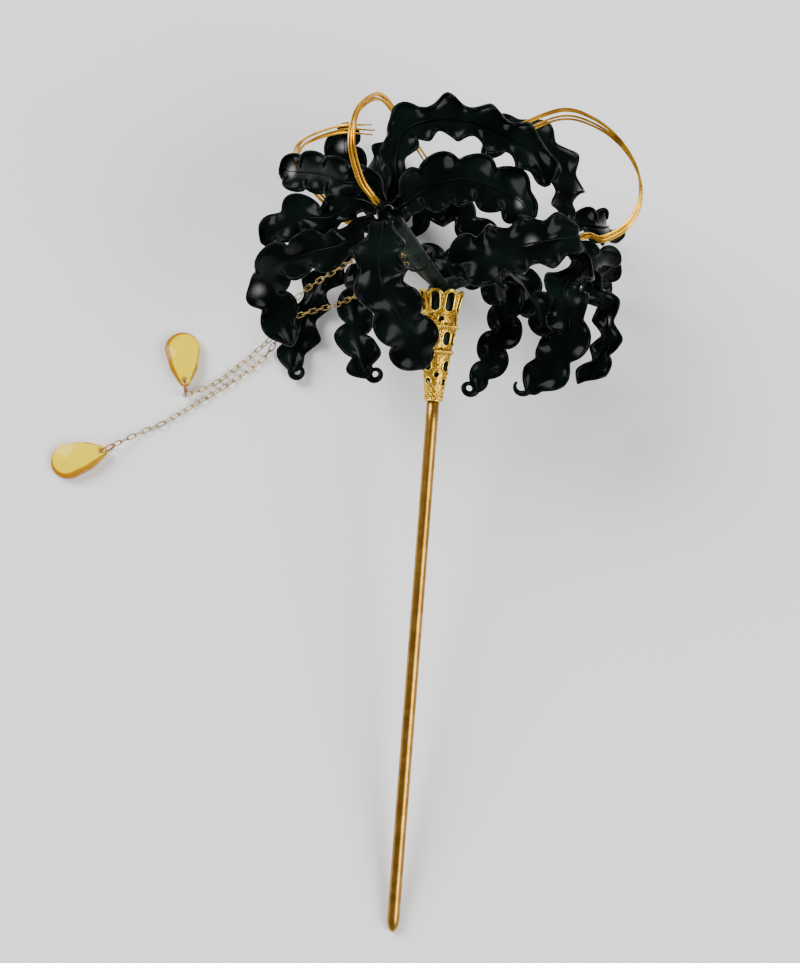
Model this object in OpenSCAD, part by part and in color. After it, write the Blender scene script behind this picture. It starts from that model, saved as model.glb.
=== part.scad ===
/* [Stick] */
// Diameter of the stick
stick_d = 3; // [2.5:0.1:3.4]
// Length of the stick from the mouth of the cap to its tip
stick_l = 154; // [110:1:170]
// Length of the rounded nose of the stick
nose_l = 3.4; // [2:0.1:6]
// Diameter of the thinner end of the stick inside the cap
tang_d = 2.6; // [2:0.1:2.6]
// Slope of the stick while the flower rests on its lowest petals
lay_slope = 12; // [8:0.5:14]

/* [Cap] */
// Length of the filigree cap
cap_l = 27.3; // [27:0.1:28]
// Wall of the filigree cap
cap_wall = 0.5; // [0.4:0.05:0.6]
// Number of scallops round the crown
scallops = 8; // [6:1:9]
// Number of times that the pattern of the lower windows repeats
cap_repeats = 4; // [3:1:4]
// Beads in each row of the collar
collar_beads = 14; // [10:1:14]

/* [Petals] */
// Thickness of a petal
petal_t = 0.9; // [0.6:0.1:1.2]
// Distance from one ruffle of an edge to the next
ruffle_pitch = 9; // [7:0.5:12]
// Height of a ruffle as a share of the petal's half width
ruffle_rise = 0.42; // [0.1:0.02:0.5]
// Depth of a scallop as a share of the petal's half width
scallop_depth = 0.34; // [0:0.02:0.36]
// Radius of the throat where the petals start
throat_r = 2.4; // [2.2:0.1:2.6]

/* [Stamens] */
// Diameter of a stamen wire
stamen_d = 0.55; // [0.4:0.05:0.8]

/* [Chains and drops] */
// Outer length of a chain link
link_l = 2.75; // [2.7:0.05:2.8]
// Outer width of a chain link
link_w = 1.4; // [1.3:0.05:1.5]
// Wire of a chain link
link_wire = 0.28; // [0.26:0.02:0.3]
// Outer diameter of a jump ring
ring_d = 4.4; // [4.2:0.1:4.8]
// Wire of a jump ring
ring_wire = 0.5; // [0.4:0.05:0.55]
// Length of a drop
drop_l = 14.5; // [13:0.5:17]
// Width of a drop
drop_w = 8.8; // [8:0.2:9]
// Thickness of a drop
drop_t = 3; // [2.4:0.1:3.4]
// Diameter of the hole in a drop
drop_bore = 1.4; // [1.3:0.1:1.6]

/* [Hidden] */

GOLD = "#d9a441";
GREEN = "#12261c";
AMBER = "#f0b030";
gap = 0.15;                    // between pieces that are held together
centre_x = -24.1;              // middle of the whole piece, from below the cap's mouth
centre_y = -51.3;
nose_drop = norm([nose_l * sin(lay_slope), stick_d / 2 * cos(lay_slope)]);
mouth_h = (stick_l - nose_l) * sin(lay_slope) + nose_drop;

// Throat of each floret, from the middle of the cap's mouth: x to the right, y away from the
// side that faces up, z along the stick toward the flower
FRONT = 0;
RIGHT = 1;
BACK = 2;
THROATS = [[-14, -22, 13], [27, 0, 12], [-13, 23, 14]];

// Petal: floret, angle round the throat, width, turn at the base, turn at the tip, ruffle phase,
// share of the full ruffle, and the places its middle line passes through, as the throats are given
PETALS = [
    [FRONT, 179, 9, -20, -15, 0, 0.9, [[-27, -22, 11.5], [-35, -18, 11], [-42.5, -13, 6]]],
    [FRONT, 120, 9.5, 10, 15, 60, 0.9, [[-24, -20, 20], [-31, -12, 23], [-40.5, 0, 24.5]]],
    [FRONT, 70, 9, 40, 95, 120, 0.6, [[-13, -23, 26], [-11.5, -19, 33], [-5, -17, 36.5], [4, -17, 36.5],
        [12, -16, 34], [18.5, -15, 30.5], [22.5, -11, 24.5]]],
    [FRONT, 2, 12, 38, 65, 180, 0.5, [[-5, -23, 20], [2, -19, 23], [10, -14, 22.5], [16, -10, 20.5],
        [20, -7, 17]]],
    [FRONT, 300, 11.5, -35, -20, 210, 0.5, [[-14.5, -36, -1], [-12, -38, -7], [-8, -35, -13], [-3, -28, -21]]],
    [FRONT, 237, 10.5, -25, -100, 300, 0.6, [[-23, -28, 5], [-32, -24, 2.5], [-39.5, -18, -1], [-38.5, -12, -8],
        [-34.5, -8, -17]]],
    [RIGHT, 180, 12, -8, -3, 0, 0.5, [[18, -12, 10], [9, -17, 6], [1, -14, 4]]],
    [RIGHT, 115, 8, 85, 55, 60, 0.9, [[27.5, 0, 24], [27.5, 4, 30], [23.5, 7, 36], [16, 8, 40.5], [10.5, 8, 38],
        [8, 8, 33]]],
    [RIGHT, 45, 7.5, -45, -55, 120, 1, [[38, 12, 19], [41, 24, 21], [39, 37, 20]]],
    [RIGHT, 243, 9.5, 75, 90, 180, 0.7, [[28.5, -9, 1], [30, -10, -6], [29.5, -8, -12], [25.5, -6, -19],
        [22, -5, -23.5]]],
    [RIGHT, 290, 6, 80, 120, 240, 1, [[36, 3, 3.5], [40, 8, -1], [41.5, 12, -8], [40.5, 16, -13],
        [36, 20, -19]]],
    [RIGHT, 342, 8, 30, 120, 300, 1, [[38, 12, 10], [40, 24, 9], [38.5, 34, 3]]],
    [BACK, 282, 7.5, 35, 60, 0, 0.9, [[-20.5, 20, -1], [-20.5, 17, -8], [-19, 14, -15], [-16, 11, -22]]],
    [BACK, 236, 7.5, 5, -45, 60, 1, [[-1, 22, 9], [11.5, 14, 4.5], [16, 10, -2], [15.5, 6, -9], [13, 3, -16],
        [10, 0, -24]]],
    [BACK, 60, 8, -12, -45, 120, 1, [[-22, 22, 25], [-26, 16, 32], [-26.5, 11, 39]]],
    [BACK, 120, 8, -75, -65, 180, 1, [[-15, 31.5, 26], [-17.5, 36.5, 33], [-17, 39.5, 40.5]]],
    [BACK, 180, 7.5, -42, -57, 240, 1, [[-4, 24, 21], [3, 24, 21.5], [10, 23, 15], [16, 20, 8], [22, 14, 1],
        [27, 5, -9]]],
    [BACK, 356, 8.5, 25, 5, 300, 0.8, [[-26, 28, 8.5], [-31.5, 29, -1], [-34, 28.5, -11], [-36, 27, -21]]]
];
petal_splay = 60;              // from a floret's axis to where a petal leaves its throat
stations = 48;                 // sections along a petal
across = 2;                    // strips over its width

// Stamens: floret, number of wires, how far the wires fan out at their tips, and their route
STAMENS = [
    [FRONT, 5, [5, 0, -3], [[-20.5, -29.5, 20], [-23, -30, 28], [-22, -26, 36], [-17.5, -18, 40.5],
        [-12, -9, 36], [-7, -3, 30]]],
    [RIGHT, 5, [-2, 0, -3], [[37, -3, 14], [42, -5, 17], [45, -5, 23], [44, -5, 30], [39.5, -5, 36.5],
        [33, -5, 41], [25, -5, 42.5], [14, -5, 37.5]]],
    [BACK, 4, [1, 0, -1.5], [[-24, 33, 18], [-36, 24, 27], [-37, 8, 32], [-28, 0, 35.5], [-19.5, -2, 36]]]
];
hub_r = 1.1;                   // binding that holds the foot of a bundle
hub_l = 2.4;

// Chains: what lies on the ground, from below the middle of the cap's mouth and over the ground
SHORT = 0;
LONG = 1;
// middle of the jump ring, heading of the ring, of the chain and of the drop
RESTS = [[[-62.1, -21.6], -81, 30, 100], [[-79.8, -38.7], 33, 33, 200]];
lie_h = 0.85;
ROUTES = [
    [[-12.6, 5.3, 37.4], [-16, 5.8, 33.4], [-22, 6.5, 27.5], [-28, 4.2, 22], [-34, 1.2, 16.5],
        [-37.2, -2, 11.5], [-39.3, -5, 7.5], [-42, -8, 4], [-44.6, -10, 1.8], [-47.4, -12.7, lie_h]],
    [[-14.2, 0.6, 35.5], [-18.8, -0.2, 25.5], [-24.5, -1, 17], [-30, -1.5, 12], [-35.5, -2.6, 8],
        [-38.6, -4.6, 5], [-41.2, -9.2, 2.2], [-44.9, -13.8, lie_h], [-54.2, -21.6, lie_h],
        [-61, -26.6, lie_h], [-67.4, -31.2, lie_h]]
];
chain_ring_d = 7.6;
chain_ring_at = 12;            // from the middle of the cap's mouth along the front stem
ring_leans = [-24, 10];        // of each chain round that ring
stem_r = 2.6;                  // of a stem where it meets its calyx
calyx_l = 3.2;
drop_tip_r = 1.5;
dome_r = 27;                   // of the two domed faces of a drop
drop_tilt = 6;                 // a drop leans on its jump ring

// Points and directions

function unit(v) = v / norm(v);

// Point of a smooth curve through the places p, for t from 0 to 1
function along(p, t) =
    let (
        n = len(p) - 1,
        i = min(floor(t * n), n - 1),
        u = t * n - i,
        b = p[i],
        c = p[i + 1],
        a = i == 0 ? 2 * b - c : p[i - 1],
        d = i == n - 1 ? 2 * c - b : p[i + 2]
    )
    0.5 * (2 * b + (c - a) * u + (2 * a - 5 * b + 4 * c - d) * u * u + (3 * b - a - 3 * c + d) * u * u * u);

// Points at equal distances on a smooth curve through the places p
function even(p, n) =
    let (
        m = 20 * (len(p) - 1),
        fine = [for (k = [0:m]) along(p, k / m)],
        table = [for (i = 0, s = 0; i <= m; i = i + 1, s = s + (i <= m ? norm(fine[i] - fine[i - 1]) : 0))
            [s, i / m]],
        total = table[m][0]
    )
    [for (k = [0:n]) along(p, lookup(total * k / n, table))];

function length_of(p) = len(p) < 2 ? 0 : norm(p[1] - p[0]) + length_of([for (i = [1:len(p) - 1]) p[i]]);

function tangents(p) =
    [for (i = [0:len(p) - 1]) unit(p[min(i + 1, len(p) - 1)] - p[max(i - 1, 0)])];

// Directions square to the tangents t that turn as little as possible, from the first one on
function carried(t, first) =
    [for (i = 0, b = unit(first - (first * t[0]) * t[0]); i < len(t);
        i = i + 1, b = i < len(t) ? unit(b - (b * t[i]) * t[i]) : b) b];

// Closed skin over sections with the same number of points
module skin(sections) {
    m = len(sections[0]);
    n = len(sections) - 1;
    points = [for (s = sections) each s];
    sides = [for (k = [0:n - 1], j = [0:m - 1])
        let (a = k * m + j, b = k * m + (j + 1) % m, c = b + m, d = a + m) each [[a, b, c], [a, c, d]]];
    polyhedron(points, concat(sides, [[for (j = [m - 1:-1:0]) j]], [[for (j = [0:m - 1]) n * m + j]]));
}

// Round wire of radius r with the given number of sides along the points p
module wire(p, r, sides) {
    t = tangents(p);
    b = carried(t, abs(t[0][0]) < 0.9 ? [1, 0, 0] : [0, 1, 0]);
    skin([for (k = [0:len(p) - 1]) let (n = cross(t[k], b[k]))
        [for (j = [0:sides - 1]) let (w = -360 * j / sides) p[k] + r * (cos(w) * b[k] + sin(w) * n)]]);
}

// Moves a child from its own x, y and z to the place p with x along a and y along b
module placed(p, a, b) {
    c = cross(a, b);
    multmatrix([[a[0], b[0], c[0], p[0]], [a[1], b[1], c[1], p[1]], [a[2], b[2], c[2], p[2]]]) children();
}

// From the upright pin to the way it lies: the tip on the ground, the flower on its petals
module laid() translate([-centre_x, -centre_y, mouth_h]) rotate([lay_slope - 90, 0, 0]) children();
module on_ground() translate([-centre_x, -centre_y, 0]) children();
function laid_way(v) = [v[0], v[1] * sin(lay_slope) + v[2] * cos(lay_slope),
    v[2] * sin(lay_slope) - v[1] * cos(lay_slope)];
function laid_place(v) = laid_way(v) + [0, 0, mouth_h];

// Stick and cap

module stick() color(GOLD) laid() {
    shank = stick_l - nose_l - cap_l - gap;
    translate([0, 0, nose_l - stick_l]) cylinder(h = shank, d = stick_d, $fn = 48);
    translate([0, 0, -cap_l - gap]) cylinder(h = cap_l + gap - 2, d = tang_d, $fn = 48);
    translate([0, 0, nose_l - stick_l]) rotate_extrude($fn = 48)
        polygon([[0, 0], for (w = [0:15:90]) [stick_d / 2 * cos(w), -nose_l * sin(w)]]);
}

// Height under the mouth's level and outer radius of the cap, from the edge of its crown down
CAP = [[0.8, 5.5], [1.8, 5.0], [3.6, 4.45], [6.4, 4.15], [8.6, 4.05], [9.2, 4.35], [9.8, 4.35], [10.4, 3.95],
    [14.6, 3.4], [15.2, 3.65], [15.8, 3.65], [16.4, 3.25], [20, 2.85], [24, 2.35], [cap_l, 2.1]];
function cap_r(h) = lookup(h, CAP);
cap_turn = 5;                  // of the pattern of windows, from the x axis
bead_d = 0.8;                  // of a bead of the collar

// Radial cut through one side of the cap: a slot of width w from a to b under the mouth
module slot(w, a, b) {
    for (h = [a + w / 2, b - w / 2]) translate([0, 0, -h]) rotate([0, 90, 0]) cylinder(h = 9, d = w, $fn = 24);
    translate([0, -w / 2, -b + w / 2]) cube([9, w, b - a - w]);
}
module round_window(w, h) translate([0, 0, -h]) rotate([0, 90, 0]) cylinder(h = 9, d = w, $fn = 24);
module drop_window(w, h) {
    round_window(w, h);
    translate([0, 0, -h]) rotate([45, 0, 0]) cube([9, w / 2, w / 2]);
}
module round_the_cap(n, first = 0) for (i = [0:n - 1]) rotate([0, 0, first + 360 * i / n]) children();

module cap() color(GOLD) laid() {
    arch = cap_turn + 180 / scallops;
    between = cap_turn + 180 / cap_repeats;
    pair = 108 / cap_repeats;
    difference() {
        union() {
            rotate_extrude($fn = 64)
                polygon(concat([for (c = CAP) [c[1], -c[0]]], [for (i = [len(CAP) - 1:-1:0])
                    [max(CAP[i][1] - cap_wall, tang_d / 2 + gap), -CAP[i][0]]]));
            for (h = [24.6, 25.6, 26.6]) round_the_cap(collar_beads, h * 100)
                translate([cap_r(h) - 0.2, 0, -h]) sphere(d = bead_d, $fn = 16);
        }
        round_the_cap(scallops, cap_turn) round_window(2.5, CAP[0][0]);
        round_the_cap(scallops, arch) slot(2.1, 1.4, 6);
        round_the_cap(cap_repeats, cap_turn) round_window(1.4, 7.9);
        for (w = [-pair, pair]) round_the_cap(cap_repeats, cap_turn + w) slot(1.9, 10.7, 13.9);
        round_the_cap(cap_repeats, between) slot(1.8, 17.5, 20.1);
        round_the_cap(cap_repeats, cap_turn) round_window(1.3, 21);
        round_the_cap(cap_repeats, between) drop_window(1.4, 22.6);
    }
}

// Green stems: the taped bundle in the cap and its branches, and the calyx of each floret

function throat(f) = THROATS[f];
function axis(f) = unit(THROATS[f]);
function up_of(f) = unit([0, 0, 1] - axis(f)[2] * axis(f));
function side_of(f) = cross(up_of(f), axis(f));
function outward(f, w) = cos(w) * side_of(f) + sin(w) * up_of(f);

// Moves a child from the z axis to a floret's own axis
module on_axis(f) placed([0, 0, 0], up_of(f), -side_of(f)) children();

module stems() color(GREEN) laid() {
    h = 22.4;
    inside = cap_wall + gap;
    rotate_extrude($fn = 48) polygon([
        [tang_d / 2 + gap, -h], [cap_r(h) - inside, -h], [cap_r(14.6) - inside, -14.6], [cap_r(4) - inside, -4],
        [3.2, 0], [1.5, 2], [0, 2], [0, -1.6], [tang_d / 2 + gap, -1.6]]);
    for (f = [FRONT, RIGHT, BACK]) on_axis(f)
        cylinder(h = norm(throat(f)) - calyx_l - gap, r1 = 1.6, r2 = stem_r, $fn = 32);
}

module calyx(f) color(GREEN) laid() on_axis(f) translate([0, 0, norm(throat(f))]) {
    translate([0, 0, -calyx_l]) cylinder(h = calyx_l, r1 = stem_r, r2 = throat_r - 0.1, $fn = 32);
    sphere(r = throat_r, $fn = 32);
}
module front_calyx() calyx(FRONT);
module right_calyx() calyx(RIGHT);
module back_calyx() calyx(BACK);

// Petals

function smooth(x) = let (u = max(0, min(1, x))) u * u * (3 - 2 * u);

// Share of the full width at the share s of a petal's length
function fullness(s) =
    s > 0.82 ? sqrt(max(0.04, 1 - pow((s - 0.82) / 0.18, 2))) : 0.3 + 0.7 * smooth(s / 0.32);

module petal(row) {
    f = row[0];
    out = outward(f, row[1]);
    leave = cos(petal_splay) * axis(f) + sin(petal_splay) * out;
    start = throat(f) + (throat_r + gap + petal_t / 2) * leave;
    line = even(concat([start, start + 5 * leave], row[7]), stations);
    t = tangents(line);
    b = carried(t, cross(axis(f), out));
    waves = 360 * length_of(line) / ruffle_pitch;
    color(GREEN) laid() skin([for (k = [0:stations])
        let (
            s = k / stations,
            turn = row[3] + (row[4] - row[3]) * s,
            n = cross(t[k], b[k]),
            over = cos(turn) * b[k] + sin(turn) * n,
            face = cos(turn) * n - sin(turn) * b[k],
            half = row[2] / 2 * fullness(s),
            wave = waves * s + row[5],
            rows = [for (j = [0:across])
                let (
                    x = 2 * j / across - 1,
                    phase = wave + (x > 0 ? 150 : 0),
                    reach = half * (1 + scallop_depth * row[6] * cos(phase)) * x,
                    rise = half * ruffle_rise * row[6] * x * x * sin(phase) * smooth(s / 0.3)
                )
                [line[k] + reach * over + rise * face, face]]
        )
        concat([for (r = rows) r[0] + petal_t / 2 * r[1]],
            [for (j = [across:-1:0]) rows[j][0] - petal_t / 2 * rows[j][1]])]);
}
module front_petal_1() petal(PETALS[0]);
module front_petal_2() petal(PETALS[1]);
module front_petal_3() petal(PETALS[2]);
module front_petal_4() petal(PETALS[3]);
module front_petal_5() petal(PETALS[4]);
module front_petal_6() petal(PETALS[5]);
module right_petal_1() petal(PETALS[6]);
module right_petal_2() petal(PETALS[7]);
module right_petal_3() petal(PETALS[8]);
module right_petal_4() petal(PETALS[9]);
module right_petal_5() petal(PETALS[10]);
module right_petal_6() petal(PETALS[11]);
module back_petal_1() petal(PETALS[12]);
module back_petal_2() petal(PETALS[13]);
module back_petal_3() petal(PETALS[14]);
module back_petal_4() petal(PETALS[15]);
module back_petal_5() petal(PETALS[16]);
module back_petal_6() petal(PETALS[17]);

// Stamens

module stamens(row) color(GOLD) laid() {
    f = row[0];
    foot = throat(f) + (throat_r + gap) * axis(f);
    translate(foot) on_axis(f) cylinder(h = hub_l, r = hub_r, $fn = 24);
    for (i = [0:row[1] - 1]) {
        w = 360 * i / row[1];
        from = foot + 0.5 * axis(f) + 0.55 * (cos(w) * side_of(f) + sin(w) * up_of(f));
        places = [for (k = [0:len(row[3]) - 1]) let (u = (k + 1) / len(row[3]))
            row[3][k] + (i / (row[1] - 1) - 0.5) * pow(u, 4) * row[2] + 0.7 * outward(f, w)];
        route = concat([from, from + (hub_l + 2) * axis(f)], places);
        wire(even(route, round(length_of(even(route, 60)) / 3.6)), stamen_d / 2, 5);
    }
}
module front_stamens() stamens(STAMENS[0]);
module right_stamens() stamens(STAMENS[1]);
module back_stamens() stamens(STAMENS[2]);

// Chains, rings and drops

// Ring of wire round the z axis
module hoop(d, w) rotate_extrude($fn = 48) translate([(d - w) / 2, 0]) circle(d = w, $fn = 20);

// Chain link along the x axis, flat in x and y
module link() {
    straight = (link_l - link_w) / 2;
    bend = (link_w - link_wire) / 2;
    for (w = [-90, 90]) rotate([0, 0, w]) translate([0, straight, 0])
        rotate_extrude(angle = 180, $fn = 32) translate([bend, 0]) circle(d = link_wire, $fn = 16);
    for (y = [-bend, bend]) translate([-straight, y, 0]) rotate([0, 90, 0])
        cylinder(h = 2 * straight, d = link_wire, $fn = 16);
}

// How far the middle of a link lies from the middle of a ring's wire that it holds
hold = (link_l - link_wire) / 2 - (ring_wire + link_wire) / 2 - 0.2;
pitch = link_l - 2 * link_wire - gap;

stem_way = laid_way(axis(FRONT));
chain_ring_place = laid_place(chain_ring_at * axis(FRONT));
function level(w) = [cos(w), sin(w), 0];
ring_h = dome_r + (drop_l - drop_w / 2 - drop_tip_r) * sin(drop_tilt)
    - (drop_l - drop_w) / 2 * sin(drop_tilt) - (dome_r - drop_t / 2) * cos(drop_tilt);
function ring_place(c) = [RESTS[c][0][0], RESTS[c][0][1], ring_h];

module chain_ring() color(GOLD) on_ground()
    placed(chain_ring_place, unit(cross(stem_way, [0, 1, 0])), unit([0, 1, 0] - stem_way[1] * stem_way))
        hoop(chain_ring_d, ring_wire);

module chain(c) color(GOLD) on_ground() {
    left = unit([-1, 0, 0] + stem_way[0] * stem_way);
    out = cos(ring_leans[c]) * left + sin(ring_leans[c]) * cross(stem_way, left);
    first = chain_ring_place + ((chain_ring_d - ring_wire) / 2 + hold) * out;
    last = ring_place(c) + (ring_d - ring_wire) / 2 * level(RESTS[c][1]) + hold * level(RESTS[c][2]);
    route = concat([first, first + 2 * out], ROUTES[c],
        [last + 7 * level(RESTS[c][2]) + [0, 0, lie_h - ring_h], last]);
    links = 2 * ceil(length_of(even(route, 300)) / pitch / 2);
    p = even(route, links);
    t = tangents(p);
    b = carried(t, stem_way);
    end = cross([0, 0, 1], t[links]);
    total = atan2(cross(b[links], end) * t[links], b[links] * end);
    for (k = [0:links]) {
        w = 90 * (k % 2) + total * k / links;
        placed(p[k], t[k], cos(w) * b[k] + sin(w) * cross(t[k], b[k])) link();
    }
}
module chain_short() chain(SHORT);
module chain_long() chain(LONG);

module jump_ring(c) color(GOLD) on_ground()
    placed(ring_place(c), level(RESTS[c][1]), [0, 0, 1]) hoop(ring_d, ring_wire);
module ring_short() jump_ring(SHORT);
module ring_long() jump_ring(LONG);

// Where the outline round some circles on the x axis, each middle and radius, faces the direction w
function outline_at(rounds, w) = let (far = max([for (q = rounds) q[0] * cos(w) + q[1]]))
    [for (q = rounds) if (q[0] * cos(w) + q[1] > far - 1e-9) [q[0] + q[1] * cos(w), q[1] * sin(w)]][0];

// Flat teardrop along the x axis: bulb at the middle, full flanks, drilled tip
module teardrop() {
    reach = drop_l - drop_w / 2 - drop_tip_r;
    middle = (drop_l - drop_w) / 2;
    rounds = [[0, drop_w / 2], [reach / 2, 0.4 * drop_w], [reach, drop_tip_r]];
    difference() {
        intersection() {
            linear_extrude(drop_t, center = true)
                polygon([for (w = [2:4:358]) outline_at(rounds, w)]);
            translate([middle, 0, dome_r - drop_t / 2]) sphere(dome_r, $fn = 96);
            translate([middle, 0, drop_t / 2 - dome_r]) sphere(dome_r, $fn = 96);
        }
        translate([reach, 0, -drop_t]) cylinder(h = 2 * drop_t, d = drop_bore, $fn = 32);
    }
}

module drop(c) color(AMBER) on_ground() {
    heading = RESTS[c][3];
    reach = drop_l - drop_w / 2 - drop_tip_r;
    hole = ring_place(c) - ((ring_d - ring_wire) / 2 - 0.13) * level(RESTS[c][1]);
    translate(hole) rotate([0, 0, heading + 180]) rotate([0, -drop_tilt, 0])
        translate([-reach, 0, 0]) teardrop();
}
module drop_short() drop(SHORT);
module drop_long() drop(LONG);

stick();
cap();
stems();
front_calyx();
right_calyx();
back_calyx();
front_petal_1();
front_petal_2();
front_petal_3();
front_petal_4();
front_petal_5();
front_petal_6();
right_petal_1();
right_petal_2();
right_petal_3();
right_petal_4();
right_petal_5();
right_petal_6();
back_petal_1();
back_petal_2();
back_petal_3();
back_petal_4();
back_petal_5();
back_petal_6();
front_stamens();
right_stamens();
back_stamens();
chain_ring();
chain_short();
ring_short();
drop_short();
chain_long();
ring_long();
drop_long();
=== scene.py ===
"""Hair stick with three ruffled resin lilies, a filigree cap, wire stamens, chains and drops.

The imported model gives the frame. Each of its nodes is stood for by a finer piece in the same
place. Sizes are in millimetres and are turned to metres when a piece is placed.
"""

import logging
import math
from dataclasses import dataclass
from enum import Enum
from typing import Callable, Sequence

import bmesh
import bpy
from mathutils import Matrix, Vector


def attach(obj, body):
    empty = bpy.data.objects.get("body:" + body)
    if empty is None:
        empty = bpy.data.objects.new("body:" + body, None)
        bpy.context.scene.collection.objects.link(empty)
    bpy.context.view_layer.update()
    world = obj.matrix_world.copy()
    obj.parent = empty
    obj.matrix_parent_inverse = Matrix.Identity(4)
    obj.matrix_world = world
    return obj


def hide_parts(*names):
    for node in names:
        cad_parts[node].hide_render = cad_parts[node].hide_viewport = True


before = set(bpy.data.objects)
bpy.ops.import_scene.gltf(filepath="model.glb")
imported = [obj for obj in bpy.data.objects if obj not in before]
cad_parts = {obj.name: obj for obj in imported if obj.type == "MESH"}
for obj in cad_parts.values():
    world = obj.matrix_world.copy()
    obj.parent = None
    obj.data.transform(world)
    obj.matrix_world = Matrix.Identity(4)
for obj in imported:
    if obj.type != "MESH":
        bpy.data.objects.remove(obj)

LOG = logging.getLogger("kanzashi")
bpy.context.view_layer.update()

Mesh = bmesh.types.BMesh
Material = bpy.types.Material
Line = Sequence[Vector]
Rows = Sequence[Sequence[float]]
Colour = tuple[float, float, float]

# Sizes of the solids

MM = 0.001
LAY_SLOPE = math.radians(12)
STICK_L = 154.0
NOSE_L = 3.4
STICK_D = 3.0
TANG_D = 2.6
CAP_L = 27.3
CENTRE = Vector((-24.1, -51.3, 0.0))
GAP = 0.15
NOSE_DROP = math.hypot(NOSE_L * math.sin(LAY_SLOPE), STICK_D / 2 * math.cos(LAY_SLOPE))
MOUTH_H = (STICK_L - NOSE_L) * math.sin(LAY_SLOPE) + NOSE_DROP

LAID = Matrix.Rotation(LAY_SLOPE - math.pi / 2, 4, "X")
ON_GROUND = Matrix.Scale(MM, 4) @ Matrix.Translation(-CENTRE)
PIN = Matrix.Scale(MM, 4) @ Matrix.Translation(-CENTRE + Vector((0, 0, MOUTH_H))) @ LAID


class Slot(Enum):
    """Material slots of the record."""

    GOLD = "gold_metal"
    TAPE = "stem_tape"
    RESIN = "petal_resin"
    AMBER = "amber_drop"


# Smooth routes


def along(places: Line, t: float) -> Vector:
    """Point of a smooth curve through some places.

    Args:
        places: what the curve passes through.
        t: share of the way, from 0 to 1.

    Returns:
        The point.
    """
    n = len(places) - 1
    i = min(int(t * n), n - 1)
    u = t * n - i
    b = places[i]
    c = places[i + 1]
    a = places[i - 1] if i else 2 * b - c
    d = places[i + 2] if i < n - 1 else 2 * c - b
    square = 2 * a - 5 * b + 4 * c - d
    cube = 3 * b - a - 3 * c + d
    return 0.5 * (2 * b + (c - a) * u + square * u * u + cube * u**3)


def length_of(points: Line) -> float:
    """Length of the line through some points."""
    return sum((q - p).length for p, q in zip(points, points[1:]))


def even(places: Line, n: int) -> list[Vector]:
    """Points at equal distances on a smooth curve.

    Args:
        places: what the curve passes through.
        n: how many steps are taken.

    Returns:
        The n + 1 points.
    """
    m = 20 * (len(places) - 1)
    fine = [along(places, k / m) for k in range(m + 1)]
    run = [0.0]
    for p, q in zip(fine, fine[1:]):
        run.append(run[-1] + (q - p).length)
    points = []
    i = 0
    for k in range(n + 1):
        goal = run[-1] * k / n
        while i < m - 1 and run[i + 1] < goal:
            i += 1
        share = (goal - run[i]) / (run[i + 1] - run[i])
        points.append(along(places, min((i + share) / m, 1.0)))
    return points


def tangents(points: Line) -> list[Vector]:
    """Directions of a line of points."""
    last = len(points) - 1
    return [(points[min(i + 1, last)] - points[max(i - 1, 0)]).normalized() for i in range(last + 1)]


def carried(ways: Line, first: Vector) -> list[Vector]:
    """Side directions that turn as little as possible along a line.

    Args:
        ways: directions of the line.
        first: wanted side direction at the start.

    Returns:
        A direction square to each of the ways.
    """
    side = first
    sides = []
    for way in ways:
        side = (side - side.dot(way) * way).normalized()
        sides.append(side)
    return sides


def smooth(x: float) -> float:
    """Eases from 0 to 1."""
    u = max(0.0, min(1.0, x))
    return u * u * (3 - 2 * u)


def turned(angle: float, a: Vector, b: Vector) -> Vector:
    """Direction at an angle in degrees from a toward b."""
    w = math.radians(angle)
    return math.cos(w) * a + math.sin(w) * b


def vectors(rows: Rows) -> list[Vector]:
    """Places of a short table."""
    return [Vector(row) for row in rows]


def polar(r: float, angle: float) -> tuple[float, float]:
    """Place at a radius and an angle in degrees."""
    return r * math.cos(math.radians(angle)), r * math.sin(math.radians(angle))


def level(angle: float) -> Vector:
    """Heading in the ground plane at an angle in degrees."""
    return Vector((*polar(1, angle), 0))


def oblong(r: float, straight: float) -> list[tuple[float, float]]:
    """Places round an upright slot.

    Args:
        r: radius of its ends.
        straight: half the length of its straight sides.

    Returns:
        The places, 20 of them.
    """
    round_places = [polar(r, 18 * k + 9) for k in range(20)]
    return [(x, y + math.copysign(straight, y)) for x, y in round_places]


def between(rows: Rows, x: float) -> float:
    """Value in a short table, even between its rows and held beyond its ends.

    Args:
        rows: a place and its value in each row, in order.
        x: the place.

    Returns:
        The value there.
    """
    for (a, first), (b, last) in zip(rows, rows[1:]):
        if x <= b:
            return first + (last - first) * max(x - a, 0.0) / (b - a)
    return rows[-1][1]


# Meshes


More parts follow.
